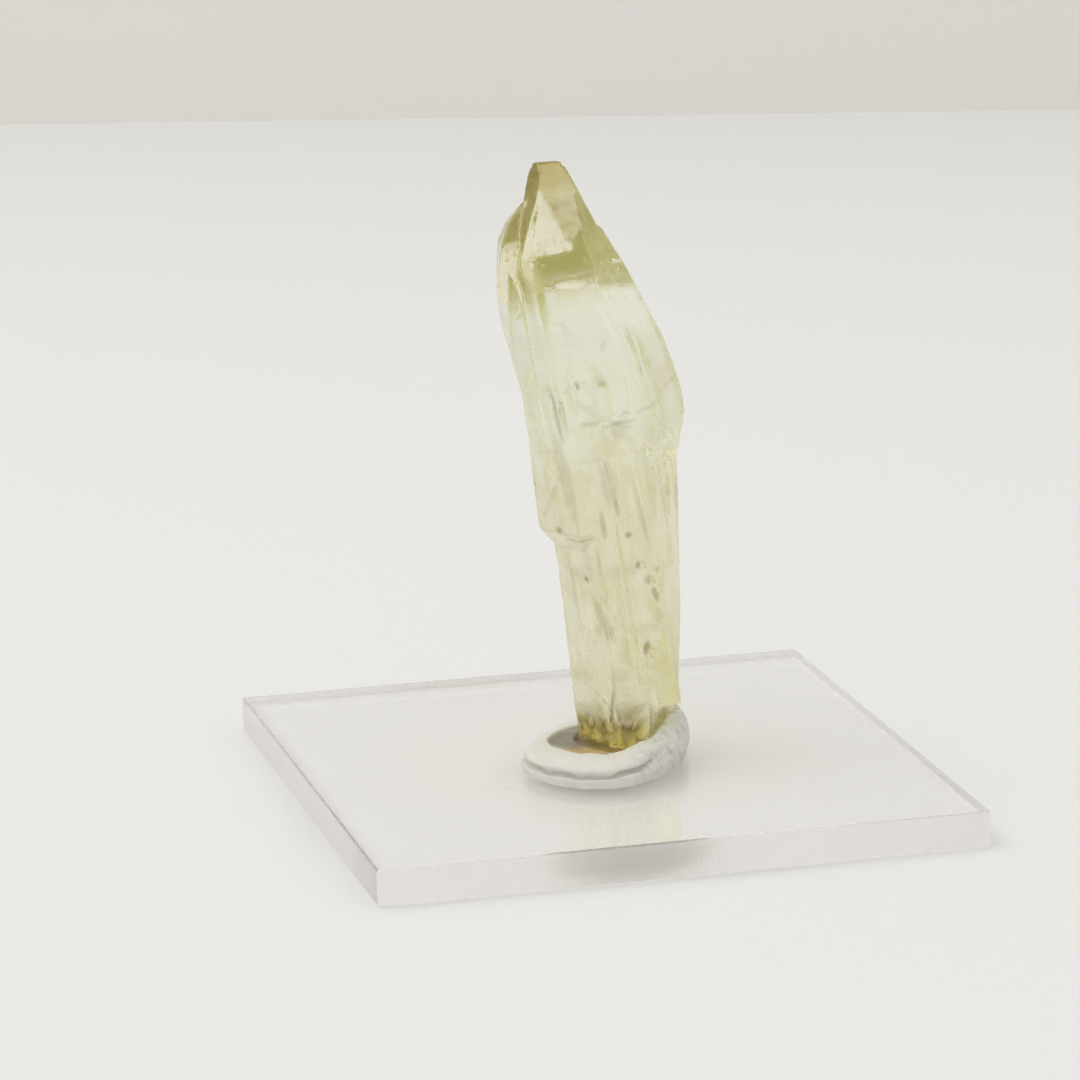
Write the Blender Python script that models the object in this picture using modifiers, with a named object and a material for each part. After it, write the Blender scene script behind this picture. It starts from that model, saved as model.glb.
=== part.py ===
"""A heliodor crystal that stands in a pad of putty on a clear acrylic square.

Metres, +Z up. The origin is the middle of the square's underside, and the square's front
edge faces -Y. The three pieces rest on each other: nothing here moves.

The crystal is built as beryl grows. Each individual is a block that is cleaved to flat
faces, and all the individuals share one set of crystal axes, because they grew in parallel.
They are joined in one solid, and then flutes and pits are etched into it.

The crystal has a frame of its own, in millimetres. Its Z runs up the crystal from the foot.
A face's azimuth is 0 where the face looks at the viewer (-Y), 90 where it looks right (+X).
"""

from collections import namedtuple
from math import cos, pi, radians, sin, tau

import bmesh
import bpy
from mathutils import Matrix, Vector
from mathutils.bvhtree import BVHTree

MM = 0.001

# The acrylic square: 3 mm sheet cut to 50 mm, with its edges just broken.
BASE_SIDE = 50.0
BASE_THICKNESS = 3.0
BASE_EDGE = 0.15

# Pieces that touch keep this gap, because each one is a solid of its own.
GAP = 0.3

# Where the crystal's foot stands, how it leans to the left, and how it is turned.
FOOT = Vector((2.25, -0.10, 4.05))
LEAN = radians(-9.0)
TURN = radians(-15.0)
CRYSTAL_PLACE = (
    Matrix.Scale(MM, 4)
    @ Matrix.Translation(FOOT)
    @ Matrix.Rotation(TURN, 4, "Z")
    @ Matrix.Rotation(LEAN, 4, "Y")
)

# Beryl's six prism sides. The front one looks a little to the right of the viewer.
FRONT = 5.0
FRONT_RIGHT = FRONT + 60.0
BACK_RIGHT = FRONT + 120.0
BACK = FRONT + 180.0
BACK_LEFT = FRONT + 240.0
FRONT_LEFT = FRONT + 300.0
LEFT = FRONT + 270.0
RIGHT = FRONT + 90.0

# The crystal's height, and how far the column's sides stand from its axis.
TIP = 48.9
AXIS = Vector((1.55, 0.0))
SIDE = 4.4

# A face is so far from the individual's axis at the named height. It leans in by its rise,
# in degrees: 0 is a prism side, 20 a steep point, 90 a flat top and -90 a flat underside.
Face = namedtuple("Face", "azimuth distance rise height", defaults=(0.0, 0.0))

BLOCK = 80.0


def level(azimuth):
    """The level direction that an azimuth looks in."""
    turn = radians(azimuth)
    return Vector((sin(turn), -cos(turn), 0.0))


def cleave(bm, axis, face):
    """Takes away what lies outside one flat face and closes the cut."""
    rise = radians(face.rise)
    outward = level(face.azimuth)
    normal = outward * cos(rise) + Vector((0.0, 0.0, sin(rise)))
    point = Vector((axis.x, axis.y, face.height)) + outward * face.distance
    geometry = bm.verts[:] + bm.edges[:] + bm.faces[:]
    cut = bmesh.ops.bisect_plane(
        bm, geom=geometry, plane_co=point, plane_no=normal, clear_outer=True
    )
    rim = [part for part in cut["geom_cut"] if isinstance(part, bmesh.types.BMEdge)]
    if rim:
        bmesh.ops.edgeloop_fill(bm, edges=rim)


def prism(front, front_right, back_right, back, back_left, front_left):
    """The six upright sides, each at its distance from the individual's axis."""
    distances = (front, front_right, back_right, back, back_left, front_left)
    return [Face(FRONT + 60.0 * k, distance) for k, distance in enumerate(distances)]


def flat_top(height):
    return Face(0.0, 0.0, 90.0, height)


def flat_foot(height):
    return Face(0.0, 0.0, -90.0, height)


def cleaved_block(axis, faces):
    """A block cut to the given faces, in the crystal's frame."""
    bm = bmesh.new()
    bmesh.ops.create_cube(bm, size=2.0 * BLOCK)
    for face in faces:
        cleave(bm, axis, face)
    bmesh.ops.remove_doubles(bm, verts=bm.verts[:], dist=1e-4)
    bmesh.ops.recalc_face_normals(bm, faces=bm.faces[:])
    return bm


def new_object(name, bm, collection, place=None):
    """An object from a bmesh, in the given collection. The place is applied to its mesh."""
    if place is not None:
        bm.transform(place)
    mesh = bpy.data.meshes.new(name)
    bm.to_mesh(mesh)
    bm.free()
    obj = bpy.data.objects.new(name, mesh)
    collection.objects.link(obj)
    return obj


def as_helper(obj):
    """A cutter or an individual that another object takes in: it isn't a part itself."""
    obj.hide_render = True
    obj.display_type = "WIRE"
    return obj


def boolean(target, other, operation):
    modifier = target.modifiers.new(f"{operation.lower()} {other.name}", "BOOLEAN")
    modifier.object = other
    modifier.operation = operation
    modifier.solver = "EXACT"
    # Some flutes run into each other, and they are all in one cutter.
    modifier.use_self = operation == "DIFFERENCE"


# The individuals


def column_faces(grow=0.0):
    """The lower column. It narrows to its foot on the right, and a little on the left."""
    return prism(SIDE + 0.05 + grow, 8.0, 8.0, SIDE - 0.1 + grow, 8.0, 8.0) + [
        Face(FRONT_LEFT, SIDE - 0.35 + grow, 2.0, 9.0),
        Face(BACK_LEFT, SIDE + 0.45 + grow, 3.5, 10.0),
        Face(FRONT_RIGHT, SIDE - 0.3 + grow, -7.0, 12.0),
        Face(BACK_RIGHT, SIDE + 0.25 + grow, -7.0, 12.0),
        Face(FRONT_RIGHT, SIDE - 1.75 + grow, -11.0, 3.0),
        Face(BACK_RIGHT, SIDE - 1.25 + grow, -10.0, 3.0),
    ]


def column():
    broken_foot = [
        flat_foot(0.0),
        Face(FRONT_LEFT, 4.3, -38.0, 0.5),
        Face(BACK_RIGHT, 2.4, -30.0, 0.4),
        Face(FRONT, 4.2, -22.0, 0.2),
    ]
    return cleaved_block(AXIS, column_faces() + broken_foot + [flat_top(27.0)])


def left_side():
    """Stands proud of the column's left, from the ledge at a third of its height."""
    return cleaved_block(
        AXIS,
        prism(SIDE + 0.13, 1.0, 1.0, SIDE - 0.6, 8.0, SIDE + 0.43)
        + [
            Face(BACK_LEFT, SIDE + 0.77, 4.6, 20.0),
            Face(FRONT_LEFT, SIDE - 0.65, -33.0, 17.1),
            Face(FRONT, SIDE - 0.1, -48.0, 18.4),
            Face(BACK_LEFT, SIDE + 0.1, -20.0, 17.2),
            flat_top(36.0),
        ],
    )


# The top's long back slope throws light that comes in at the front down the crystal, so the
# top looks as deep in colour as the crystal is long. The tip is thicker: its back is steeper.
BACK_SLOPE = Face(BACK, SIDE + 0.05, 25.0, 36.0)
TIP_BACK = Face(BACK, -0.25, 18.0, 46.2)


def slopes(back):
    """The long sloping faces of the top, which the crown and the spire share."""
    return [
        back,
        Face(BACK_RIGHT, 5.8, 14.0, 34.1),
        Face(BACK_RIGHT, 4.3, 15.4, 39.8),
        Face(BACK_LEFT, 2.32, 14.0, 42.86),
        Face(FRONT_LEFT, 4.02, 22.0, 42.86),
    ]


def crown():
    """The wide upper body. Above its front face it is cut back in the steep olive band."""
    return cleaved_block(
        AXIS,
        prism(SIDE + 0.2, 8.0, 8.0, SIDE + 0.1, SIDE - 0.1, SIDE + 0.57)
        + slopes(BACK_SLOPE)
        + [
            Face(FRONT, SIDE - 0.3, -40.0, 24.2),
            Face(BACK, SIDE - 0.2, -35.0, 20.5),
            Face(FRONT_RIGHT, 4.9, -24.0, 22.6),
            Face(BACK_RIGHT, 5.3, -26.0, 23.2),
            Face(FRONT_RIGHT, 6.2, 7.0, 29.0),
            Face(BACK_RIGHT, 6.4, 6.0, 29.0),
            Face(FRONT_RIGHT, 5.4, 14.5, 34.1),
            Face(FRONT_RIGHT, 3.8, 24.0, 39.8),
            Face(FRONT, SIDE + 0.2, 35.0, 39.1),
            Face(RIGHT, 0.25, 62.0, 44.2),
        ],
    )


def spire_faces(back, proud):
    """What the spire and its tip share. The upright front face is a triangle: it lies between
    two flanks and under a steep face, and its end is cut level as the crystal leans. Each
    individual stands a little proud of the one below, as growth layers do."""
    faces = (
        prism(2.78, 8.0, 8.0, SIDE, 8.0, 8.0)
        + slopes(back)
        + [
            Face(FRONT + 34.0, 2.62, 10.3, 41.96),
            Face(FRONT_RIGHT, 2.5, 9.1, 43.0),
            Face(FRONT, 2.78, 35.0, 47.3),
            Face(LEFT, 2.2, 14.0, 46.9),
            Face(RIGHT, 1.65, 18.0, 47.45),
            Face(RIGHT, 1.06, 38.0, 48.8),
            Face(RIGHT, 0.0, 82.0, TIP),
        ]
    )
    return [face._replace(distance=face.distance + proud) for face in faces]


def spire():
    """The narrow top, over the olive band. It ends inside the tip."""
    faces = spire_faces(BACK_SLOPE, proud=0.03)
    return cleaved_block(AXIS, faces + [flat_foot(37.0), flat_top(48.0)])


def tip():
    """The spire's blunt end."""
    return cleaved_block(AXIS, spire_faces(TIP_BACK, proud=0.06) + [flat_foot(45.0)])


def brow():
    """A layer on the upper front that ends below in the step across the face."""
    return cleaved_block(
        AXIS,
        prism(SIDE + 0.38, 4.9, 3.0, 0.0, 2.0, 3.4)
        + [
            Face(FRONT - 9.0, SIDE - 0.1, -50.0, 27.1),
            Face(FRONT - 40.0, 2.9, -35.0, 27.6),
            Face(FRONT + 4.0, SIDE + 0.38, 36.0, 38.9),
            Face(FRONT_RIGHT, 4.4, 16.0, 35.4),
            flat_top(41.0),
        ],
    )


def shoulder():
    """The thin individual at the upper left, with a rounded top of its own."""
    return cleaved_block(
        Vector((-2.35, 0.2)),
        prism(3.7, 2.4, 2.0, 3.0, 1.9, 2.15)
        + [
            Face(LEFT, 1.35, -6.0, 30.0),
            Face(LEFT, 2.0, 4.0, 37.4),
            Face(LEFT, 1.55, 13.0, 40.5),
            Face(LEFT, 0.6, 29.0, 43.6),
            Face(LEFT, -0.1, 48.0, 44.6),
            Face(FRONT, 3.4, 17.0, 40.0),
            Face(FRONT, 2.2, 38.0, 43.4),
            Face(BACK, 2.6, 22.0, 39.0),
            flat_foot(26.0),
        ],
    )


def right_bulge():
    """Hangs out over the column's right side, with an undercut below it."""
    return cleaved_block(
        Vector((5.1, 0.5)),
        prism(4.1, 3.55, 3.75, 3.3, 3.0, 3.2)
        + [
            Face(RIGHT, 3.72, -25.0, 25.2),
            Face(FRONT, 3.7, -42.0, 25.6),
            Face(BACK, 3.0, -30.0, 24.0),
            Face(FRONT_RIGHT, 3.2, 9.0, 30.5),
            Face(BACK_RIGHT, 3.6, 8.0, 30.5),
            Face(FRONT_RIGHT, 2.45, 18.0, 34.1),
            Face(BACK_RIGHT, 2.6, 15.0, 35.0),
            Face(FRONT, 3.6, 17.0, 34.0),
            flat_top(38.5),
        ],
    )


def front_slab():
    """A thin raised layer on the lower front, right of the middle."""
    return cleaved_block(
        Vector((3.1, 0.0)),
        prism(SIDE + 0.4, 3.45, 1.0, 0.0, 1.5, 3.5)
        + [
            Face(FRONT, SIDE, 30.0, 25.4),
            Face(FRONT, SIDE, -20.0, 5.4),
            Face(LEFT, 1.5),
            Face(RIGHT, 1.9, -1.5, 14.0),
            flat_foot(3.0),
            flat_top(27.0),
        ],
    )


def back_rib(axis, distance, foot, top):
    """A parallel individual on the back, with a steep point and an undercut foot."""
    above = [
        Face(BACK, distance, 17.0, top),
        Face(BACK_RIGHT, distance - 0.3, 24.0, top),
        Face(BACK_LEFT, distance - 0.1, 21.0, top + 1.0),
        Face(RIGHT, distance, 38.0, top + 1.5),
        Face(LEFT, distance, 36.0, top + 2.0),
    ]
    below = [
        Face(BACK, distance, -32.0, foot),
        Face(RIGHT, distance, -24.0, foot + 1.0),
        Face(LEFT, distance, -28.0, foot + 0.6),
        flat_foot(foot - 1.5),
    ]
    return cleaved_block(axis, prism(2.0, *[distance] * 5) + above + below)


def individuals():
    """Every individual but the column, by name."""
    return {
        "left side": left_side(),
        "crown": crown(),
        "spire": spire(),
        "tip": tip(),
        "brow": brow(),
        "shoulder": shoulder(),
        "right bulge": right_bulge(),
        "front slab": front_slab(),
        "back rib left": back_rib(Vector((-0.5, 2.3)), 2.5, 5.5, 27.0),
        "back rib right": back_rib(Vector((3.3, 2.5)), 2.4, 9.0, 24.0),
        "back rib middle": back_rib(Vector((1.6, 3.1)), 2.1, 14.0, 30.0),
    }


# The etching: flutes and pits, each where a level line from outside meets the crystal

Etch = namedtuple("Etch", "azimuth across height width length depth")

FLUTES = (
    # Two narrow grooves beside the front edge, above the ledge.
    Etch(FRONT, -2.50, 28.3, 0.42, 7.0, 0.45),
    Etch(FRONT, -2.00, 28.9, 0.34, 5.0, 0.40),
    # The broad bright flutes near the right edge.
    Etch(FRONT, 3.60, 19.0, 1.10, 13.0, 0.45),
    Etch(FRONT + 20.0, 4.30, 20.0, 0.70, 9.0, 0.40),
    # The trough beside the front edge under the ledge, and the long pit below it.
    Etch(FRONT, -1.20, 14.2, 0.50, 6.0, 0.35),
    Etch(FRONT, -1.80, 11.5, 0.95, 4.2, 0.50),
    Etch(FRONT_LEFT, 0.90, 12.5, 0.70, 8.0, 0.30),
    # The crack that runs up from the foot.
    Etch(FRONT, -2.20, 3.9, 0.34, 3.8, 0.40),
    # Flutes that the front doesn't show.
    Etch(BACK_LEFT, -1.0, 11.0, 0.90, 12.0, 0.40),
    Etch(BACK_LEFT, 1.6, 26.0, 0.70, 9.0, 0.35),
    Etch(BACK_RIGHT, 0.5, 17.0, 0.80, 10.0, 0.40),
    Etch(BACK, -0.4, 24.0, 0.90, 12.0, 0.45),
)

PITS = (
    Etch(FRONT, 1.80, 15.5, 0.50, 0.90, 0.45),
    Etch(FRONT, 2.40, 14.1, 0.55, 0.80, 0.40),
    Etch(FRONT, 2.75, 12.5, 0.60, 1.50, 0.40),
    Etch(FRONT, 1.15, 8.2, 0.70, 1.10, 0.55),
    Etch(FRONT, 0.50, 19.4, 0.45, 1.60, 0.35),
    Etch(FRONT, 0.75, 27.6, 1.30, 0.70, 0.40),
    Etch(FRONT, 2.55, 27.9, 1.10, 0.80, 0.40),
    Etch(FRONT, -0.55, 31.3, 0.45, 0.70, 0.40),
    Etch(BACK, 1.2, 12.0, 0.80, 1.30, 0.45),
    Etch(BACK, -1.4, 30.0, 0.90, 1.20, 0.45),
    Etch(BACK_LEFT, 0.6, 18.0, 0.70, 1.10, 0.40),
    Etch(BACK_RIGHT, -0.8, 27.0, 0.80, 1.30, 0.45),
)


# A flute is a spindle of so many sides. A pit is a pyramid, and these are the radii of its two
# ends, as shares of the pit's half width: the wide end outside the crystal, the narrow one in.
FLUTE_SIDES = 8
PIT_SIDES = 6
PIT_MOUTH = 1.6
PIT_FLOOR = 0.3


def on_surface(tree, etch):
    """Where the etch's level line meets the crystal, in the crystal's frame."""
    outward = level(etch.azimuth)
    start = AXIS.to_3d() + level(etch.azimuth + 90.0) * etch.across + outward * BLOCK
    start.z = etch.height
    found = tree.ray_cast(CRYSTAL_PLACE @ start, CRYSTAL_PLACE.to_3x3() @ -outward)[0]
    return CRYSTAL_PLACE.inverted() @ found


def etching(tree):
    """Every flute and pit, in one mesh: thin spindles, and six-sided pyramids."""
    bm = bmesh.new()
    stand = Matrix.Rotation(-pi / 2, 4, "X")
    for etch in FLUTES + PITS:
        place = Matrix.Translation(on_surface(tree, etch))
        turn = Matrix.Rotation(radians(etch.azimuth), 4, "Z")
        if etch in FLUTES:
            shape = Matrix.Diagonal((etch.width / 2, etch.depth, etch.length / 2, 1.0))
            bmesh.ops.create_uvsphere(
                bm,
                u_segments=FLUTE_SIDES,
                v_segments=FLUTE_SIDES,
                radius=1.0,
                matrix=place @ turn @ shape,
            )
        else:
            shape = Matrix.Diagonal((etch.width / 2, etch.length / 2, 1.0, 1.0))
            bmesh.ops.create_cone(
                bm,
                cap_ends=True,
                segments=PIT_SIDES,
                radius1=PIT_MOUTH,
                radius2=PIT_FLOOR,
                depth=2.0 * etch.depth,
                matrix=place @ turn @ stand @ shape,
            )
    bmesh.ops.recalc_face_normals(bm, faces=bm.faces[:])
    return bm


# The putty: a pad pressed under and around the foot, rolled over at its front

# Its outline and its rim, at eight turns from its own middle: right, back right, back and so
# on round to front right. It was folded at the front left, and it climbs the crystal's right.
PAD_MIDDLE = Vector((0.4, -1.6))
PAD_REACHES = (6.8, 8.0, 7.4, 6.6, 6.7, 8.6, 9.3, 7.0)
PAD_RIMS = (3.2, 3.6, 2.3, 1.2, 1.1, 1.5, 1.7, 2.1)
PAD_SIDES = 32

# Where the crease of the fold is deepest, at the front left, and how deep it is.
CREASE_TURN = radians(240.0)
CREASE = 0.055

# The wall's section, from the underside over the rim to the hollow, as shares of the reach
# and of the rim's height. The fourth point lies in the crease.
PAD_SECTION = (
    (0.90, 0.00),
    (0.985, 0.17),
    (1.00, 0.36),
    (0.985, 0.52),
    (0.955, 0.68),
    (0.88, 0.90),
    (0.76, 1.00),
    (0.62, 0.92),
    (0.48, 0.66),
    (0.30, 0.50),
)
CREASE_POINT = 3


def around(values, turn):
    """A smooth closed curve through evenly spaced values, read at this turn."""
    count = len(values)
    place = turn / tau * count
    first = int(place)
    share = place - first
    before, start, end, after = (values[(first + k) % count] for k in (-1, 0, 1, 2))
    bend = 2 * before - 5 * start + 4 * end - after
    swing = 3 * start - before - 3 * end + after
    return start + 0.5 * share * (end - before + share * (bend + share * swing))


def pad_ring(bm, step, turns):
    """One ring of the loft: the section's point at every turn."""
    out, up = PAD_SECTION[step]
    ring = []
    for turn in turns:
        crease = CREASE * max(0.0, cos(turn - CREASE_TURN)) if step == CREASE_POINT else 0.0
        away = (out - crease) * around(PAD_REACHES, turn)
        spot = Vector((away * cos(turn), away * sin(turn), up * around(PAD_RIMS, turn)))
        spot += Vector((PAD_MIDDLE.x, PAD_MIDDLE.y, BASE_THICKNESS + GAP))
        ring.append(bm.verts.new(spot))
    return ring


def putty_pad():
    """The pad as a loft of closed rings, from its underside over the rim to its hollow."""
    bm = bmesh.new()
    turns = [tau * k / PAD_SIDES for k in range(PAD_SIDES)]
    rings = [pad_ring(bm, step, turns) for step in range(len(PAD_SECTION))]
    for lower, upper in zip(rings, rings[1:]):
        for k in range(PAD_SIDES):
            after = (k + 1) % PAD_SIDES
            bm.faces.new((lower[k], lower[after], upper[after], upper[k]))
    bm.faces.new(rings[0][::-1])
    bm.faces.new(rings[-1])
    bm.transform(Matrix.Rotation(TURN, 4, "Z"))
    bmesh.ops.recalc_face_normals(bm, faces=bm.faces[:])
    return bm


# How high the socket is cut: well above the highest part of the rim.
SOCKET_TOP = 9.0


def socket():
    """The room that the foot and its gap take up in the pad."""
    faces = column_faces(grow=GAP) + [flat_foot(-GAP), flat_top(SOCKET_TOP)]
    return cleaved_block(AXIS, faces)


# Materials


def material(name, colour, roughness, transmission=0.0, ior=1.5):
    made = bpy.data.materials.new(name)
    made.use_nodes = True
    shader = made.node_tree.nodes["Principled BSDF"]
    shader.inputs["Base Color"].default_value = (*colour, 1.0)
    shader.inputs["Roughness"].default_value = roughness
    shader.inputs["Metallic"].default_value = 0.0
    shader.inputs["Transmission Weight"].default_value = transmission
    shader.inputs["IOR"].default_value = ior
    return made


# The sub-parts


def acrylic_base(parts):
    bm = bmesh.new()
    bmesh.ops.create_cube(bm, size=1.0)
    bm.transform(Matrix.Diagonal((BASE_SIDE, BASE_SIDE, BASE_THICKNESS, 1.0)))
    bm.transform(Matrix.Translation((0.0, 0.0, BASE_THICKNESS / 2)))
    base = new_object("acrylic_base", bm, parts, Matrix.Scale(MM, 4))
    bevel = base.modifiers.new("broken edges", "BEVEL")
    bevel.width = BASE_EDGE * MM
    bevel.segments = 1
    base.data.materials.append(material("clear acrylic", (0.93, 0.92, 0.92), 0.05, 1.0, 1.49))
    return base


def mounting_putty(parts, helpers):
    putty = new_object("mounting_putty", putty_pad(), parts, Matrix.Scale(MM, 4))
    room = as_helper(new_object("socket", socket(), helpers, CRYSTAL_PLACE))
    boolean(putty, room, "DIFFERENCE")
    putty.data.materials.append(material("white putty", (0.70, 0.68, 0.62), 0.6))
    return putty


def apply_modifiers(obj):
    """Keeps the shape that the object's modifiers give it, as its own mesh."""
    graph = bpy.context.evaluated_depsgraph_get()
    shaped = bpy.data.meshes.new_from_object(obj.evaluated_get(graph))
    obj.modifiers.clear()
    obj.data = shaped


def heliodor_crystal(parts, helpers):
    crystal = new_object("heliodor_crystal", column(), parts, CRYSTAL_PLACE)
    for name, bm in individuals().items():
        individual = as_helper(new_object(name, bm, helpers, CRYSTAL_PLACE))
        boolean(crystal, individual, "UNION")
    apply_modifiers(crystal)
    tree = BVHTree.FromObject(crystal, bpy.context.evaluated_depsgraph_get())
    etch = as_helper(new_object("etching", etching(tree), helpers, CRYSTAL_PLACE))
    boolean(crystal, etch, "DIFFERENCE")
    crystal.data.materials.append(material("heliodor", (0.75, 0.73, 0.48), 0.15, 1.0, 1.575))
    return crystal


def clear_scene():
    for obj in list(bpy.data.objects):
        bpy.data.objects.remove(obj, do_unlink=True)


def main():
    clear_scene()
    parts = bpy.data.collections.new("heliodor specimen")
    helpers = bpy.data.collections.new("helpers")
    for collection in (parts, helpers):
        bpy.context.scene.collection.children.link(collection)
    acrylic_base(parts)
    mounting_putty(parts, helpers)
    heliodor_crystal(parts, helpers)


main()
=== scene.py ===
"""The looks of a heliodor crystal in a pad of putty on a clear acrylic square.

Everything is in metres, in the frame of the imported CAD, with +Z up and the square's front edge
facing -Y. The crystal has a frame of its own as well, in millimetres: its Z runs up the crystal
from the foot, and its -Y looks at the viewer.
"""

import logging
import math
from dataclasses import asdict, dataclass, field
from enum import Enum
from typing import Any, Optional, Sequence, Union

import bmesh
import bpy
from mathutils import Matrix, Vector


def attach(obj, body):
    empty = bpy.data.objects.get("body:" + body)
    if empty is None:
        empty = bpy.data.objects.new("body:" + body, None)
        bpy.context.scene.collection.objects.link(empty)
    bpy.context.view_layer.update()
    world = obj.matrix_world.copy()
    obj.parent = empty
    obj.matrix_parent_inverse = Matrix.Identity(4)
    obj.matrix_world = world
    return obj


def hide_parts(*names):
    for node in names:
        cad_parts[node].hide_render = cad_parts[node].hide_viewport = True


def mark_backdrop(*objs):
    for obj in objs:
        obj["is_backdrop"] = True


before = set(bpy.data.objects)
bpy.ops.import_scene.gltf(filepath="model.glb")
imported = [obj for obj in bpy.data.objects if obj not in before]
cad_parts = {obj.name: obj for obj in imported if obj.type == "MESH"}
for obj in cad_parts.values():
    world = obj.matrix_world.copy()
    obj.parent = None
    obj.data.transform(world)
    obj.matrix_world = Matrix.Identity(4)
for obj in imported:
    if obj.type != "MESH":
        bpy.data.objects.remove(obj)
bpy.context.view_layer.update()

log = logging.getLogger("heliodor")

MM = 0.001
Triple = tuple[float, float, float]
Tone = tuple[float, float, float, float]
Socket = bpy.types.NodeSocket
Feed = Union[float, Sequence[float], Socket]

# The type of socket that a group's input has, by the type of its default value.
SOCKET_TYPES = {float: "NodeSocketFloat", int: "NodeSocketInt", tuple: "NodeSocketVector"}


class Body(Enum):
    """The CAD bodies that a piece can ride on."""

    ROOT = "root"


class Slot(Enum):
    """The record's material slots."""

    ACRYLIC = "clear_acrylic"
    PUTTY = "white_putty"
    HELIODOR = "heliodor"


class Node(Enum):
    """The CAD nodes by name."""

    BASE = "acrylic_base"
    PUTTY = "mounting_putty"
    CRYSTAL = "heliodor_crystal"


# Node trees


@dataclass
class Tree:
    """Adds nodes to one shader or geometry tree and links them."""

    tree: bpy.types.NodeTree

    def node(self, kind: str, **settings: Any) -> bpy.types.Node:
        """Adds a node.

        Args:
            kind: the node's type name.
            settings: the node's own properties by name.

        Returns:
            The new node.
        """
        made = self.tree.nodes.new(kind)
        for name, value in settings.items():
            setattr(made, name, value)
        return made

    def feed(self, socket: Socket, value: Feed) -> None:
        """Sets a socket to a value, or links it to another socket.

        Args:
            socket: the input socket.
            value: a number, a vector, or an output socket.
        """
        if isinstance(value, bpy.types.NodeSocket):
            self.tree.links.new(value, socket)
        else:
            socket.default_value = value

    def math(self, operation: str, *values: Feed) -> Socket:
        """A Math node on up to three numbers.

        Args:
            operation: the node's operation.
            values: its inputs in order.

        Returns:
            The result's socket.
        """
        made = self.node("ShaderNodeMath", operation=operation)
        for socket, value in zip(made.inputs, values):
            self.feed(socket, value)
        return made.outputs[0]

    def product(self, first: Feed, *others: Feed) -> Socket:
        """Multiplies numbers.

        Args:
            first: the first number.
            others: the numbers that it is multiplied by in turn.

        Returns:
            The product's socket.
        """
        for other in others:
            first = self.math("MULTIPLY", first, other)
        return first

    def vector(self, operation: str, *values: Feed) -> Socket:
        """A Vector Math node.

        Args:
            operation: the node's operation.
            values: its vector inputs in order.

        Returns:
            The result's socket, which is a number for a LENGTH.
        """
        made = self.node("ShaderNodeVectorMath", operation=operation)
        for socket, value in zip(made.inputs, values):
            self.feed(socket, value)
        return made.outputs["Value" if operation == "LENGTH" else "Vector"]

    def split(self, vector: Socket) -> tuple[Socket, Socket, Socket]:
        """The X, Y and Z of a vector, as sockets."""
        made = self.node("ShaderNodeSeparateXYZ")
        self.feed(made.inputs[0], vector)
        return made.outputs[0], made.outputs[1], made.outputs[2]

    def smooth(self, value: Feed, low: float, high: float) -> Socket:
        """A smooth step from 0 at low to 1 at high.

        Args:
            value: what is stepped.
            low: where the result is 0. It may be more than high.
            high: where the result is 1.

        Returns:
            The step's socket.
        """
        made = self.node("ShaderNodeMapRange", interpolation_type="SMOOTHSTEP")
        flip = low > high
        self.feed(made.inputs["Value"], value)
        self.feed(made.inputs["From Min"], high if flip else low)
        self.feed(made.inputs["From Max"], low if flip else high)
        self.feed(made.inputs["To Min"], 1.0 if flip else 0.0)
        self.feed(made.inputs["To Max"], 0.0 if flip else 1.0)
        return made.outputs["Result"]

    def noise(self, vector: Socket, scale: Feed, detail: float = 3.0, rough: float = 0.6) -> Socket:
        """A noise from 0 to 1.

        Args:
            vector: where it is read.
            scale: its frequency.
            detail: how many octaves it has.
            rough: how strong the finer octaves are.

        Returns:
            The noise's socket.
        """
        made = self.node("ShaderNodeTexNoise")
        self.feed(made.inputs["Vector"], vector)
        self.feed(made.inputs["Scale"], scale)
        self.feed(made.inputs["Detail"], detail)
        self.feed(made.inputs["Roughness"], rough)
        return made.outputs[0]

    def mix(self, share: Feed, first: Feed, second: Feed, blend: str = "MIX") -> Socket:
        """Mixes two colours.

        Args:
            share: how much of the second shows.
            first: the colour at 0.
            second: the colour at 1.
            blend: the mix's blend type.

        Returns:
            The mixed colour's socket.
        """
        made = self.node("ShaderNodeMix", data_type="RGBA", blend_type=blend)
        self.feed(made.inputs[0], share)
        self.feed(made.inputs[6], first)
        self.feed(made.inputs[7], second)
        return made.outputs[2]


def colour(red: float, green: float, blue: float) -> Tone:
    """A linear colour with full alpha."""
    return (red, green, blue, 1.0)


def new_group(name: str, kind: str, inputs: dict[str, Any], output: str,
              output_type: str) -> tuple[Tree, bpy.types.Node, bpy.types.Node]:
    """Starts a node group.

    Args:
        name: the group's name.
        kind: "ShaderNodeTree" or "GeometryNodeTree".
        inputs: each input's default value, or its socket type if it has none, by name.
        output: the name of what it puts out.
        output_type: that output's socket type.

    Returns:
        The tree, its input node and its output node.
    """
    group = bpy.data.node_groups.new(name, kind)
    for label, value in inputs.items():
        bare = isinstance(value, str)
        socket_type = value if bare else SOCKET_TYPES[type(value)]
        socket = group.interface.new_socket(label, in_out="INPUT", socket_type=socket_type)
        if not bare:
            socket.default_value = value
    group.interface.new_socket(output, in_out="OUTPUT", socket_type=output_type)
    tree = Tree(group)
    return tree, tree.node("NodeGroupInput"), tree.node("NodeGroupOutput")


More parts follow.
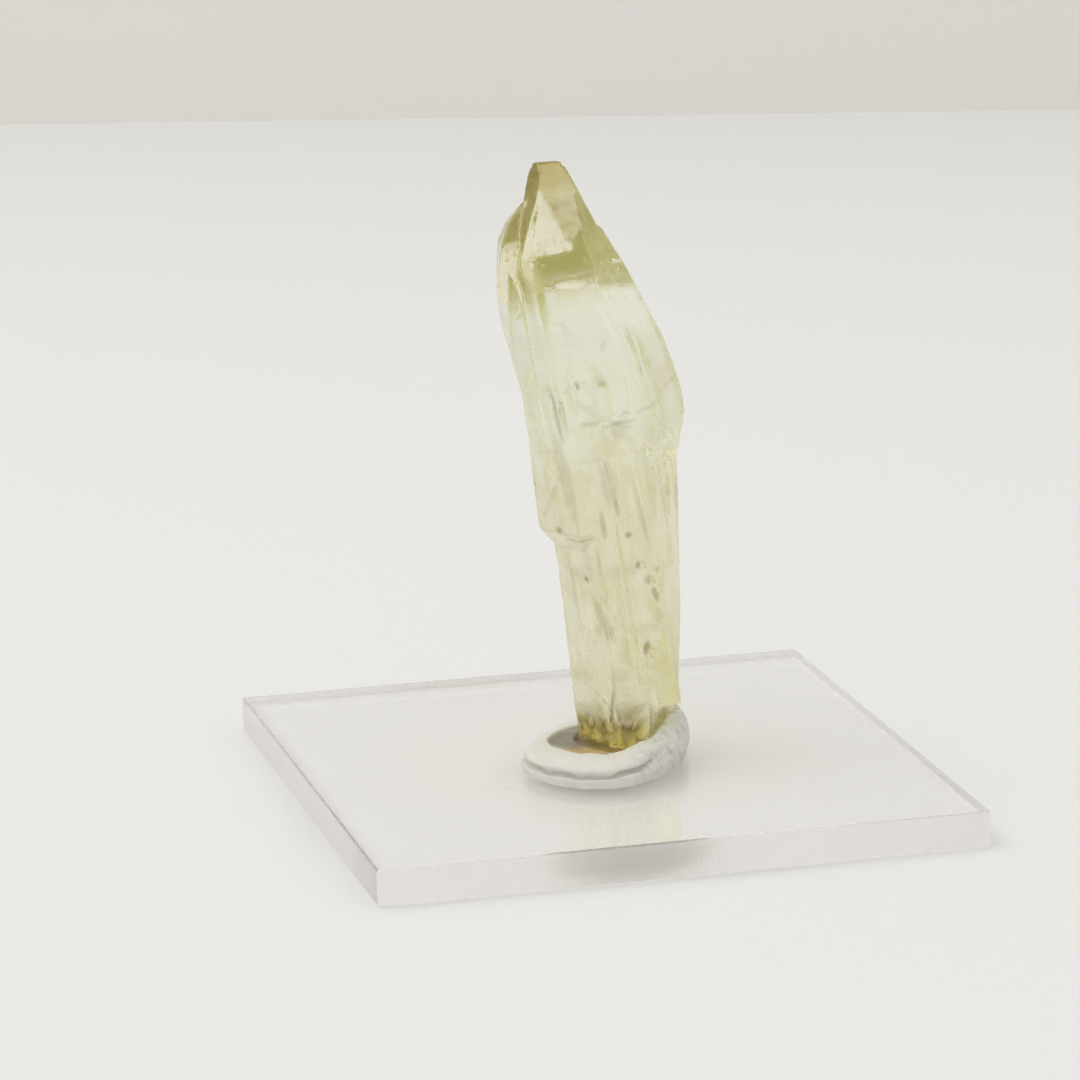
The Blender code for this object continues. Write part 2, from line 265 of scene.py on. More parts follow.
def streaks_group() -> bpy.types.NodeTree:
    """Fine lines that run along Z: growth lines on the crystal, saw marks, drawn-out putty.

    Returns:
        The shader group, with a Height from 0 to 1.
    """
    sizes = {"Vector": "NodeSocketVector", "Across": 1.0, "Along": 0.1}
    tree, given, out = new_group("streaks", "ShaderNodeTree", sizes, "Height", "NodeSocketFloat")
    scale = tree.node("ShaderNodeCombineXYZ")
    for socket, name in zip(scale.inputs, ("Across", "Across", "Along")):
        tree.feed(socket, given.outputs[name])
    stretched = tree.vector("MULTIPLY", given.outputs["Vector"], scale.outputs[0])
    tree.feed(out.inputs["Height"], tree.noise(stretched, 1.0, detail=1.0))
    return tree.tree


def specks_group() -> bpy.types.NodeTree:
    """Scattered spots: dust, pits and crumbs.

    Returns:
        The shader group, with a Mask that is 1 in a spot.
    """
    sizes = {"Vector": "NodeSocketVector", "Scale": 1.0, "Size": 0.2}
    tree, given, out = new_group("specks", "ShaderNodeTree", sizes, "Mask", "NodeSocketFloat")
    cells = tree.node("ShaderNodeTexVoronoi")
    tree.feed(cells.inputs["Vector"], given.outputs["Vector"])
    tree.feed(cells.inputs["Scale"], given.outputs["Scale"])
    chance = tree.node("ShaderNodeSeparateColor")
    tree.feed(chance.inputs[0], cells.outputs["Color"])
    size = tree.math("MULTIPLY", given.outputs["Size"], chance.outputs[0])
    inside = tree.math("SUBTRACT", size, cells.outputs["Distance"])
    tree.feed(out.inputs["Mask"], tree.smooth(inside, 0.0, 0.06))
    return tree.tree


@dataclass
class Effects:
    """The shader groups that more than one material uses."""

    streaks: bpy.types.NodeTree = field(default_factory=streaks_group)
    specks: bpy.types.NodeTree = field(default_factory=specks_group)

    def place(self, tree: Tree, group: bpy.types.NodeTree, **values: Feed) -> Socket:
        """Puts a group in a material.

        Args:
            tree: the material's tree.
            group: the effect.
            values: its inputs by name.

        Returns:
            The effect's socket.
        """
        made = tree.node("ShaderNodeGroup", node_tree=group)
        for name, value in values.items():
            tree.feed(made.inputs[name], value)
        return made.outputs[0]


# Finishes


@dataclass(frozen=True)
class Finish:
    """The values that every finish sets on its shader's own sockets."""

    name: str
    ior: float = 1.5
    transmission: float = 0.0
    roughness: float = 0.5

    def shader(self) -> tuple[bpy.types.Material, Tree, bpy.types.Node]:
        """Makes the material.

        Returns:
            The material, its tree and its Principled shader.
        """
        made = bpy.data.materials.new(self.name)
        made.use_nodes = True
        principled = made.node_tree.nodes["Principled BSDF"]
        principled.inputs["IOR"].default_value = self.ior
        principled.inputs["Transmission Weight"].default_value = self.transmission
        principled.inputs["Metallic"].default_value = 0.0
        principled.inputs["Roughness"].default_value = self.roughness
        return made, Tree(made.node_tree), principled


def place_in_mm(tree: Tree, foot: Triple = (0.0, 0.0, 0.0), turn: Triple = (0.0, 0.0, 0.0)) -> Socket:
    """Object coordinates in millimetres, in a frame of the piece's own.

    Args:
        tree: the material's tree.
        foot: the frame's origin, in millimetres.
        turn: how the frame is turned.

    Returns:
        The coordinate's socket.
    """
    source = tree.node("ShaderNodeTexCoord")
    mapping = tree.node("ShaderNodeMapping", vector_type="TEXTURE")
    tree.feed(mapping.inputs["Vector"], source.outputs["Object"])
    tree.feed(mapping.inputs["Location"], tuple(MM * value for value in foot))
    tree.feed(mapping.inputs["Rotation"], turn)
    tree.feed(mapping.inputs["Scale"], (MM, MM, MM))
    return mapping.outputs[0]


def bump(tree: Tree, principled: bpy.types.Node, height: Socket, depth_mm: float,
         strength: float = 1.0) -> None:
    """Gives a shader a bump.

    Args:
        tree: the material's tree.
        principled: the shader.
        height: the relief from 0 to 1.
        depth_mm: how deep 0 lies under 1.
        strength: the bump's strength.
    """
    made = tree.node("ShaderNodeBump")
    tree.feed(made.inputs["Height"], height)
    made.inputs["Distance"].default_value = depth_mm * MM
    made.inputs["Strength"].default_value = strength
    tree.feed(principled.inputs["Normal"], made.outputs[0])


@dataclass(frozen=True)
class Grooves:
    """Fine grooves along Z: how closely they lie across and along, their depth and strength."""

    across: float
    along: float
    depth: float
    strength: float

    def height(self, tree: Tree, effects: Effects, place: Socket) -> Socket:
        """Their relief, from 0 to 1.

        Args:
            tree: the material's tree.
            effects: the shared shader groups.
            place: where it is read.

        Returns:
            The height's socket.
        """
        return effects.place(tree, effects.streaks, Vector=place, Across=self.across, Along=self.along)


def absorb(tree: Tree, tint: Tone, density: float) -> None:
    """Gives a clear material its depth of colour.

    Args:
        tree: the material's tree.
        tint: the colour that passes.
        density: how strongly the rest is taken out.
    """
    made = tree.node("ShaderNodeVolumeAbsorption")
    made.inputs["Color"].default_value = tint
    made.inputs["Density"].default_value = density
    output = tree.tree.nodes["Material Output"]
    tree.feed(output.inputs["Volume"], made.outputs[0])


@dataclass(frozen=True)
class HeliodorFinish(Finish):
    """Pale yellow beryl. Its mesh carries the zones, with their painted shade and light, and the dull
    patches as attributes.
    """

    name: str = "heliodor"
    ior: float = 1.575
    transmission: float = 1.0
    zone_attribute: str = "zone"
    frost_attribute: str = "frost"
    least_roughness: float = 0.09
    frosted: float = 0.55
    foot: Triple = (2.25, -0.10, 4.05)
    turn: Triple = (0.0, math.radians(-9.0), math.radians(-15.0))
    growth_lines: Grooves = Grooves(across=3.0, along=0.3, depth=0.02, strength=0.08)
    depth_tint: Tone = colour(0.83, 0.82, 0.30)
    density: float = 33.0

    def make(self, effects: Effects) -> bpy.types.Material:
        """Builds the material.

        Args:
            effects: the shared shader groups.

        Returns:
            The material.
        """
        made, tree, principled = self.shader()
        place = place_in_mm(tree, self.foot, self.turn)
        zone = tree.node("ShaderNodeAttribute", attribute_name=self.zone_attribute)
        frost = tree.node("ShaderNodeAttribute", attribute_name=self.frost_attribute)
        tree.feed(principled.inputs["Base Color"], zone.outputs["Color"])
        rough = tree.math("MULTIPLY_ADD", frost.outputs["Fac"], self.frosted, self.least_roughness)
        tree.feed(principled.inputs["Roughness"], rough)
        lines = self.growth_lines
        bump(tree, principled, lines.height(tree, effects, place), lines.depth, lines.strength)
        absorb(tree, self.depth_tint, self.density)
        return made


@dataclass(frozen=True)
class AcrylicFinish(Finish):
    """Clear acrylic sheet with a faint pink cast and sawn edges."""

    name: str = "clear_acrylic"
    ior: float = 1.49
    transmission: float = 1.0
    roughness: float = 0.09
    edge_from: float = 24.88
    edge_full: float = 24.98
    edge_dullness: float = 0.30
    dust_dullness: float = 0.15
    dust_scale: float = 0.3
    dust_size: float = 0.1
    face_tone: Tone = colour(1.0, 0.995, 0.995)
    edge_tone: Tone = colour(0.985, 0.965, 0.965)
    saw_marks: Grooves = Grooves(across=6.0, along=0.5, depth=0.03, strength=0.5)
    depth_tint: Tone = colour(0.97, 0.95, 0.95)
    density: float = 4.0

    def make(self, effects: Effects) -> bpy.types.Material:
        """Builds the material.

        Args:
            effects: the shared shader groups.

        Returns:
            The material.
        """
        made, tree, principled = self.shader()
        place = place_in_mm(tree)
        across, deep, _ = tree.split(place)
        reach = tree.math("MAXIMUM", tree.math("ABSOLUTE", across), tree.math("ABSOLUTE", deep))
        edge = tree.smooth(reach, self.edge_from, self.edge_full)
        dust = effects.place(
            tree, effects.specks, Vector=place, Scale=self.dust_scale, Size=self.dust_size
        )
        matt = tree.math(
            "MAXIMUM", tree.product(edge, self.edge_dullness), tree.product(dust, self.dust_dullness)
        )
        tree.feed(principled.inputs["Roughness"], tree.math("ADD", matt, self.roughness))
        tree.feed(principled.inputs["Base Color"], tree.mix(edge, self.face_tone, self.edge_tone))
        saw = self.saw_marks
        marks = tree.product(saw.height(tree, effects, place), edge)
        bump(tree, principled, marks, saw.depth, saw.strength)
        absorb(tree, self.depth_tint, self.density)
        return made


@dataclass(frozen=True)
class PuttyFinish(Finish):
    """White mineral putty: matt, with dark specks, drawn out by fingers, and with shade painted into its
    crease, between its lumps, over its rough right side and on its hollow's far wall.
    """

    name: str = "white_putty"
    roughness: float = 0.5
    roughness_spread: float = 0.2
    subsurface: float = 0.15
    subsurface_radius: Triple = (1.0, 0.85, 0.6)
    grub_attribute: str = "grub"
    warm_attribute: str = "warm"
    shaded_tone: Tone = colour(0.64, 0.625, 0.57)
    pale_tone: Tone = colour(0.76, 0.74, 0.68)
    warm_tone: Tone = colour(0.50, 0.36, 0.17)
    grub_tone: Tone = colour(0.18, 0.16, 0.12)
    grub_share: float = 0.6
    speck_tone: Tone = colour(0.32, 0.30, 0.25)
    speck_share: float = 0.5
    # A painted light on the underside that is stuck to the square.
    contact_tone: Tone = colour(0.86, 0.84, 0.78)
    stuck_at: float = 3.0
    contact_fade: float = 0.1
    grain_depth: float = 0.04
    grain_strength: float = 0.6

    def make(self, effects: Effects) -> bpy.types.Material:
        """Builds the material.

        Args:
            effects: the shared shader groups.

        Returns:
            The material.
        """
        made, tree, principled = self.shader()
        place = place_in_mm(tree)
        cloud = tree.noise(place, 0.45, detail=4.0)
        specks = effects.place(tree, effects.specks, Vector=place, Scale=0.9, Size=0.16)
        grub = tree.node("ShaderNodeAttribute", attribute_name=self.grub_attribute)
        warm = tree.node("ShaderNodeAttribute", attribute_name=self.warm_attribute)
        _, _, up = tree.split(place)
        # Painted light: the underside that is stuck to the square is made paler, though it lies in shade
        # under the pad.
        underside_light = tree.smooth(up, self.stuck_at + self.contact_fade, self.stuck_at)
        tone = tree.mix(cloud, self.shaded_tone, self.pale_tone)
        # Painted golden shade, as if cast through the yellow crystal, on the hollow's floor and under the
        # crystal's foot.
        tone = tree.mix(warm.outputs["Fac"], tone, self.warm_tone)
        # Painted shade: darker in the crease, between the lumps, over the rough right side and most on the
        # hollow's far wall.
        tone = tree.mix(tree.product(grub.outputs["Fac"], self.grub_share), tone, self.grub_tone)
        tone = tree.mix(tree.product(specks, self.speck_share), tone, self.speck_tone)
        tone = tree.mix(underside_light, tone, self.contact_tone)
        rough = tree.math("MULTIPLY_ADD", cloud, self.roughness_spread, self.roughness)
        tree.feed(principled.inputs["Base Color"], tone)
        tree.feed(principled.inputs["Roughness"], rough)
        principled.inputs["Subsurface Weight"].default_value = self.subsurface
        principled.inputs["Subsurface Radius"].default_value = self.subsurface_radius
        principled.inputs["Subsurface Scale"].default_value = MM
        grain = tree.noise(place, 7.0, detail=5.0, rough=0.65)
        bump(tree, principled, grain, self.grain_depth, self.grain_strength)
        return made


@dataclass(frozen=True)
class PaperFinish(Finish):
    """Matt white paper for the floor and the backdrop."""

    name: str = "paper"
    roughness: float = 0.9
    specular: float = 0.2
    tone: Triple = (0.80, 0.795, 0.77)
    shaded: float = 0.985
    one_sided: bool = False

    def make(self) -> bpy.types.Material:
        """Builds the material.

        Returns:
            The material.
        """
        made, tree, principled = self.shader()
        place = place_in_mm(tree)
        grain = tree.noise(place, 1.5, detail=1.0)
        light = colour(*self.tone)
        shade = colour(*[self.shaded * value for value in self.tone])
        tree.feed(principled.inputs["Base Color"], tree.mix(grain, shade, light))
        principled.inputs["Specular IOR Level"].default_value = self.specular
        if self.one_sided:
            clear = tree.node("ShaderNodeBsdfTransparent")
            side = tree.node("ShaderNodeNewGeometry")
            mixed = tree.node("ShaderNodeMixShader")
            tree.feed(mixed.inputs[0], side.outputs["Backfacing"])
            tree.feed(mixed.inputs[1], principled.outputs[0])
            tree.feed(mixed.inputs[2], clear.outputs[0])
            output = tree.tree.nodes["Material Output"]
            tree.feed(output.inputs["Surface"], mixed.outputs[0])
        return made


# Meshes


def object_from(name: str, bm: bmesh.types.BMesh) -> bpy.types.Object:
    """An object at the origin from a bmesh.

    Args:
        name: the object's name.
        bm: the mesh, which is freed.

    Returns:
        The object, linked to the scene.
    """
    mesh = bpy.data.meshes.new(name)
    bm.to_mesh(mesh)
    bm.free()
    made = bpy.data.objects.new(name, mesh)
    bpy.context.scene.collection.objects.link(made)
    return made


def merged_copy(node: Node, place: Optional[Matrix] = None) -> bmesh.types.BMesh:
    """A CAD node's mesh with its doubles merged.

    Args:
        node: the CAD node.
        place: what the mesh is transformed by.

    Returns:
        The copy.
    """
    bm = bmesh.new()
    bm.from_mesh(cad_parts[node.value].data)
    bmesh.ops.remove_doubles(bm, verts=bm.verts[:], dist=0.002 * MM)
    if place is not None:
        bm.transform(place)
    return bm


def even_out(obj: bpy.types.Object, voxel: float, rounds: int) -> None:
    """Gives an object modifiers that even its mesh out and round its edges.

    Args:
        obj: the object.
        voxel: the size of the mesh's steps.
        rounds: how often it is smoothed.
    """
    remesh = obj.modifiers.new("even", "REMESH")
    remesh.mode = "VOXEL"
    remesh.voxel_size = voxel
    rounded = obj.modifiers.new("rounded", "SMOOTH")
    rounded.iterations = rounds


def bake_modifiers(obj: bpy.types.Object) -> None:
    """Replaces an object's mesh by what its modifiers make of it."""
    graph = bpy.context.evaluated_depsgraph_get()
    shaped = bpy.data.meshes.new_from_object(obj.evaluated_get(graph))
    obj.modifiers.clear()
    obj.data = shaped


def smooth_shade(obj: bpy.types.Object) -> None:
    """Shades an object smooth."""
    obj.data.polygons.foreach_set("use_smooth", [True] * len(obj.data.polygons))
    obj.data.update()


def set_inputs(modifier: bpy.types.Modifier, values: dict[str, Any]) -> None:
    """Sets a Geometry Nodes modifier's inputs by their sockets' identifiers.

    Args:
        modifier: the modifier.
        values: each input's value by its name.
    """
    for item in modifier.node_group.interface.items_tree:
        if item.item_type == "SOCKET" and item.in_out == "INPUT" and item.name in values:
            modifier[item.identifier] = values[item.name]


def store(tree: Tree, geometry: Socket, name: str, kind: str, value: Socket) -> Socket:
    """Stores a value on every vertex.

    Args:
        tree: the geometry tree.
        geometry: what it is stored on.
        name: the attribute's name.
        kind: its data type, "FLOAT" or "FLOAT_COLOR".
        value: what is stored.

    Returns:
        The geometry that carries it.
    """
    made = tree.node("GeometryNodeStoreNamedAttribute", data_type=kind, domain="POINT")
    tree.feed(made.inputs["Geometry"], geometry)
    made.inputs["Name"].default_value = name
    tree.feed(made.inputs["Value"], value)
    return made.outputs[0]


def shift_along_normal(tree: Tree, geometry: Socket, distance: Socket) -> Socket:
    """Moves every vertex along its normal.

    Args:
        tree: the geometry tree.
        geometry: what is moved.
        distance: how far out it goes.

    Returns:
        The moved geometry.
    """
    step = tree.node("ShaderNodeVectorMath", operation="SCALE")
    tree.feed(step.inputs[0], tree.node("GeometryNodeInputNormal").outputs[0])
    tree.feed(step.inputs["Scale"], distance)
    moved = tree.node("GeometryNodeSetPosition")
    tree.feed(moved.inputs["Geometry"], geometry)
    tree.feed(moved.inputs["Offset"], step.outputs[0])
    return moved.outputs[0]


def scatter(tree: Tree, surface: Socket, density: Feed, radius: Feed, seed: Feed) -> Socket:
    """Scatters upright spots on a surface, each twice as long as it is wide.

    Args:
        tree: the geometry tree.
        surface: what they lie on.
        density: how many lie on a square millimetre.
        radius: how wide each is.
        seed: what the scatter is drawn from.

    Returns:
        1 in the middle of a spot, and 0 outside all of them.
    """
    squeeze = (1.0, 1.0, 0.5)
    spread = tree.node("GeometryNodeDistributePointsOnFaces")
    tree.feed(spread.inputs["Mesh"], surface)
    tree.feed(spread.inputs["Density"], density)
    tree.feed(spread.inputs["Seed"], seed)
    squeezed = tree.node("GeometryNodeTransform")
    tree.feed(squeezed.inputs["Geometry"], spread.outputs["Points"])
    tree.feed(squeezed.inputs["Scale"], squeeze)
    near = tree.node("GeometryNodeProximity", target_element="POINTS")
    tree.feed(near.inputs[0], squeezed.outputs[0])
    place = tree.node("GeometryNodeInputPosition").outputs[0]
    tree.feed(near.inputs["Sample Position"], tree.vector("MULTIPLY", place, squeeze))
    away = tree.math("DIVIDE", near.outputs["Distance"], radius)
    return tree.product(tree.smooth(away, 1.0, 0.2), near.outputs["Is Valid"])


def mark_group() -> bpy.types.NodeTree:
    """One oval mark, seen from the front.

    Returns:
        The geometry group, with a Mask that is 1 in the mark's middle.
    """
    sizes = {"Middle": "NodeSocketVector", "Half Width": 0.3, "Half Length": 0.3, "Lean": 0.0}
    tree, given, out = new_group("mark", "GeometryNodeTree", sizes, "Mask", "NodeSocketFloat")
    place = tree.node("GeometryNodeInputPosition").outputs[0]
    away = tree.vector("SUBTRACT", place, given.outputs["Middle"])
    turned = tree.node("ShaderNodeVectorRotate", rotation_type="Y_AXIS")
    tree.feed(turned.inputs["Vector"], away)
    tree.feed(turned.inputs["Angle"], given.outputs["Lean"])
    across, _, up = tree.split(turned.outputs[0])
    share_across = tree.math("DIVIDE", across, given.outputs["Half Width"])
    share_up = tree.math("DIVIDE", up, given.outputs["Half Length"])
    square = tree.math("MULTIPLY_ADD", share_up, share_up, tree.product(share_across, share_across))
    tree.feed(out.inputs["Mask"], tree.smooth(tree.math("SQRT", square), 1.1, 0.5))
    return tree.tree


@dataclass(frozen=True)
class Mark:
    """One mark of the crystal's front, in the crystal's frame.

    Attributes:
        across: how far right its middle lies.
        height: how far up its middle lies.
        half_width: half its size across.
        half_length: half its size along.
        depth: how deep it is etched.
        lean: how far its top leans to the right, in degrees.
        frost: how dull it is, from 0 to 1.
        stain: how much painted brown shade darkens it, from 0 to 1.
    """

    across: float
    height: float
    half_width: float
    half_length: float
    depth: float
    lean: float = 0.0
    frost: float = 0.0
    stain: float = 0.0


# How much of each mark's depth is cut, the rest being shown by painted shade: deep marks act as sharp
# lenses.
MARK_RELIEF = 0.45

# Most marks carry painted shade: the brown dark of their pits, streaks and cracks is painted on.
FRONT_MARKS = (
    # The long edge between the front and the left face, from the band down to the foot.
    Mark(-1.35, 39.8, 0.60, 3.0, 0.0, lean=-3.0, frost=0.4),
    Mark(-1.15, 35.2, 0.30, 3.4, 0.05, lean=-1.0),
    Mark(-0.75, 23.0, 0.30, 2.6, 0.08, lean=-8.0),
    Mark(-0.25, 8.5, 0.28, 2.2, 0.06, lean=-4.0),
    # The two dark streaks beside that edge, and the broad olive stripe they run down into, darkened with
    # painted shade.
    Mark(-1.05, 28.8, 0.28, 2.7, 0.16, lean=-4.0, stain=0.65),
    Mark(-0.48, 28.9, 0.20, 2.1, 0.12, lean=-2.0, stain=0.40),
    Mark(-1.25, 23.2, 0.60, 4.8, 0.06, lean=-4.0, stain=0.30),
    # Bright glints under the band, where old cleavage opens.
    Mark(0.53, 36.2, 0.55, 0.18, 0.14, lean=30.0, frost=1.0),
    Mark(-1.40, 36.0, 0.30, 0.34, 0.12, frost=1.0),
    Mark(1.42, 34.4, 0.36, 0.18, 0.12, lean=20.0, frost=1.0),
    Mark(1.10, 35.6, 0.80, 0.18, 0.08, lean=50.0, stain=0.15),
    Mark(1.03, 31.1, 0.22, 0.50, 0.16, lean=-15.0, stain=0.8),
    Mark(3.60, 33.8, 0.30, 0.60, 0.10, lean=30.0, stain=0.25),
    # The step across the middle of the front.
    Mark(1.55, 27.7, 1.10, 0.24, 0.18, lean=4.0, stain=0.40),
    Mark(3.90, 27.4, 1.50, 0.26, 0.18, lean=-2.0, stain=0.45),
    Mark(3.70, 26.8, 0.80, 0.90, 0.06, stain=0.30),
    Mark(6.40, 28.2, 1.50, 0.22, 0.16, lean=-14.0, stain=0.30),
    Mark(8.50, 29.3, 1.00, 0.22, 0.12, lean=-20.0, stain=0.20),
    Mark(4.28, 25.8, 0.40, 0.24, 0.16, frost=1.0),
    Mark(2.30, 25.4, 1.60, 0.80, 0.05, frost=0.4),
    # The broad pale flute at the right, and the narrower ones beside it.
    Mark(5.25, 20.8, 0.62, 4.4, 0.10, lean=-1.0, frost=0.45),
    Mark(4.35, 19.6, 0.26, 3.8, 0.10, lean=-4.0, stain=0.40),
    Mark(6.35, 20.4, 0.24, 4.0, 0.10, stain=0.25),
    Mark(2.20, 22.6, 0.80, 2.4, 0.08, stain=0.35),
    Mark(1.15, 19.3, 0.24, 1.5, 0.14, stain=0.60),
    Mark(2.45, 20.6, 0.34, 0.9, 0.12, stain=0.50),
    # The ledge at a third of the height, and the troughs and the long pit under it.
    Mark(-1.05, 18.1, 1.50, 0.22, 0.16, lean=-4.0, stain=0.45),
    Mark(-2.60, 18.9, 0.34, 0.36, 0.18, stain=0.80),
    Mark(-2.25, 13.6, 0.22, 3.4, 0.10, stain=0.30),
    Mark(-0.70, 15.8, 0.30, 2.0, 0.10, lean=-4.0, stain=0.25),
    Mark(0.30, 15.9, 0.22, 1.9, 0.10, stain=0.40),
    Mark(-1.05, 14.6, 0.26, 0.30, 0.18, stain=0.90),
    Mark(-1.30, 12.9, 0.60, 0.50, 0.12, frost=0.6),
    Mark(-0.25, 11.4, 0.46, 2.1, 0.26, lean=-16.0, stain=0.50),
    # The pits of the right half.
    Mark(3.40, 15.6, 0.30, 0.42, 0.20, stain=0.85),
    Mark(3.99, 14.2, 0.40, 0.46, 0.22, stain=0.65),
    Mark(4.40, 12.9, 0.30, 0.80, 0.22, lean=-14.0, stain=0.75),
    Mark(4.90, 14.9, 0.26, 0.30, 0.14, stain=0.55),
    Mark(3.05, 18.2, 0.36, 0.30, 0.18, stain=0.85),
    Mark(4.40, 11.2, 0.60, 0.60, 0.08, stain=0.25),
    Mark(2.95, 8.60, 0.34, 0.70, 0.26, lean=12.0, stain=0.90),
    Mark(2.45, 7.50, 0.34, 0.36, 0.14, frost=1.0),
    # The crack that runs up from the foot.
    Mark(-0.80, 3.9, 0.16, 1.9, 0.20, lean=12.0, stain=0.90),
    Mark(-0.30, 5.6, 0.14, 1.3, 0.12, lean=6.0, stain=0.50),
    Mark(-1.50, 4.6, 0.10, 0.9, 0.08, lean=-40.0, stain=0.40),
)


@dataclass(frozen=True)
class Zone:
    """A tone of the crystal's front or of the whole crystal, between two heights.

    Attributes:
        tone: what it lets through of the light behind it, linear.
        low: where it starts.
        high: where it ends.
        left: where it starts across.
        right: where it ends across.
        fade: how soft its bounds are.
        ragged: how far its bounds wander.
        front_only: whether it lies on the front alone.
        around_window: whether it stops at the window's edges.
    """

    tone: Triple
    low: float
    high: float
    left: float = -20.0
    right: float = 20.0
    fade: float = 1.0
    ragged: float = 1.5
    front_only: bool = False
    around_window: bool = False

    def base_colour(self) -> Tone:
        """Its base colour. On the front alone it is passed once, not twice, so it is squared."""
        power = 2.0 if self.front_only else 1.0
        return colour(*[value**power for value in self.tone])


# The crystal's own tones under its zones, those laid over them, and the painted shade of its pits,
# streaks, cracks and foot, of which so much at most covers the others.
CLEAR_TONE = colour(0.99, 1.0, 1.0)
CLOUDY_TONE = colour(0.965, 0.97, 0.94)
MOTTLE_TONE = colour(0.91, 0.885, 0.75)
STRIPE_TONE = colour(0.94, 0.92, 0.82)
PAINTED_SHADE_TONE = colour(0.24, 0.185, 0.06)
MOST_PAINTED_SHADE = 0.9

ZONES = (
    Zone((0.925, 0.905, 0.82), -5.0, 21.5, fade=2.5, ragged=4.0),
    Zone((0.87, 0.885, 0.80), 25.5, 34.0, left=6.2, fade=1.2, front_only=True),
    Zone((0.88, 0.80, 0.66), 29.0, 31.0, left=7.3, right=8.6, fade=0.6, front_only=True),
    Zone((0.96, 0.93, 0.79), 38.4, 60.0, fade=0.25, ragged=1.2),
    Zone((0.96, 0.91, 0.74), 38.0, 44.0, left=-9.0, right=-1.6, fade=0.8, ragged=1.0),
    # Painted shade: the olive of the tip's front, darker at the top, around the clear window.
    Zone((0.80, 0.74, 0.54), 42.6, 60.0, fade=0.5, ragged=0.5, front_only=True, around_window=True),
    Zone((0.67, 0.59, 0.30), 46.5, 60.0, fade=0.9, ragged=1.0, front_only=True, around_window=True),
    # Painted light: the deep golden tint that light trapped in the left of the foot takes.
    Zone((0.80, 0.66, 0.33), -5.0, 2.4, right=1.6, fade=0.8, ragged=1.8, front_only=True),
)


@dataclass(frozen=True)
class PaneEdge:
    """One edge of the clear window under the tip, in the crystal's frame.

    Attributes:
        across: how far right a point of it lies.
        height: how far up that point lies.
        inward: the direction into the window, in degrees up from the right.
    """

    across: float
    height: float
    inward: float


WINDOW = (
    PaneEdge(-1.52, 42.73, -25.3),
    PaneEdge(2.32, 41.90, 197.9),
    PaneEdge(-1.52, 42.73, 55.7),
    PaneEdge(2.32, 41.90, 93.8),
)


def window_mask(tree: Tree, place: Socket, edges: Sequence[PaneEdge]) -> Socket:
    """Where the clear window lies.

    Args:
        tree: the geometry tree.
        place: where it is read.
        edges: the window's edges.

    Returns:
        1 inside the window.
    """
    across, _, up = tree.split(place)
    wander = tree.math("MULTIPLY_ADD", tree.noise(place, 1.4), 0.8, -0.4)
    shares = []
    for edge in edges:
        aside, above = math.cos(math.radians(edge.inward)), math.sin(math.radians(edge.inward))
        start = -(aside * edge.across + above * edge.height)
        within = tree.math("MULTIPLY_ADD", across, aside, tree.math("MULTIPLY_ADD", up, above, start))
        shares.append(tree.smooth(tree.math("ADD", within, wander), -0.15, 0.2))
    return tree.product(*shares)


def crystal_zones(tree: Tree, place: Socket, front: Socket, zones: Sequence[Zone]) -> Socket:
    """The crystal's colour zones, one laid over the other, with painted shade at the tip's front and
    painted golden light in the foot.

    Args:
        tree: the geometry tree.
        place: where it is read.
        front: 1 where the surface looks at the viewer.
        zones: the zones in order.

    Returns:
        The colour's socket.
    """
    across, _, up = tree.split(place)
    wander = tree.math("SUBTRACT", tree.noise(place, 0.7, 4.0, 0.65), 0.5)
    cloud = tree.smooth(tree.noise(place, 0.38), 0.35, 0.65)
    tone = tree.mix(cloud, CLEAR_TONE, CLOUDY_TONE)
    yellow_part = tree.smooth(up, 30.0, 24.0)
    drawn_out = tree.vector("MULTIPLY", place, (1.0, 1.0, 0.05))
    stripe = tree.product(tree.smooth(tree.noise(drawn_out, 1.1), 0.42, 0.68), yellow_part)
    flattened = tree.vector("MULTIPLY", place, (1.0, 1.0, 0.5))
    mottle = tree.smooth(tree.noise(flattened, 0.75), 0.45, 0.65)
    mottle = tree.product(mottle, tree.math("MAXIMUM", yellow_part, tree.smooth(up, 43.5, 45.0)))
    shut = tree.math("SUBTRACT", 1.0, window_mask(tree, place, WINDOW))
    for zone in zones:
        height = tree.math("MULTIPLY_ADD", wander, 2.0 * zone.ragged, up)
        share = tree.product(
            tree.smooth(height, zone.low - zone.fade, zone.low + zone.fade),
            tree.smooth(height, zone.high + zone.fade, zone.high - zone.fade),
            tree.smooth(across, zone.left - zone.fade, zone.left + zone.fade),
            tree.smooth(across, zone.right + zone.fade, zone.right - zone.fade),
        )
        if zone.front_only:
            share = tree.product(share, front)
        if zone.around_window:
            share = tree.product(share, shut)
        tone = tree.mix(share, tone, zone.base_colour())
    tone = tree.mix(mottle, tone, MOTTLE_TONE, blend="MULTIPLY")
    return tree.mix(stripe, tone, STRIPE_TONE, blend="MULTIPLY")


@dataclass(frozen=True)
class Etching:
    """The sizes that the etched crystal's tree takes, in millimetres.

    Pits and flecks are how many lie on a square millimetre. A dullness is from 0 to 1.
    """

    line_width: float = 1.8
    line_depth: float = 0.08
    ripple_depth: float = 0.08
    pits: float = 0.02
    pit_radius: float = 0.5
    pit_depth: float = 0.08
    flecks: float = 2.2
    fleck_radius: float = 0.20
    crumble: float = 0.36
    nibbled_edge: float = 0.16
    etched_dullness: float = 0.30
    back_dullness: float = 0.07
    flank_dullness: float = 0.5
    haze_dullness: float = 0.12
    seed: int = 4


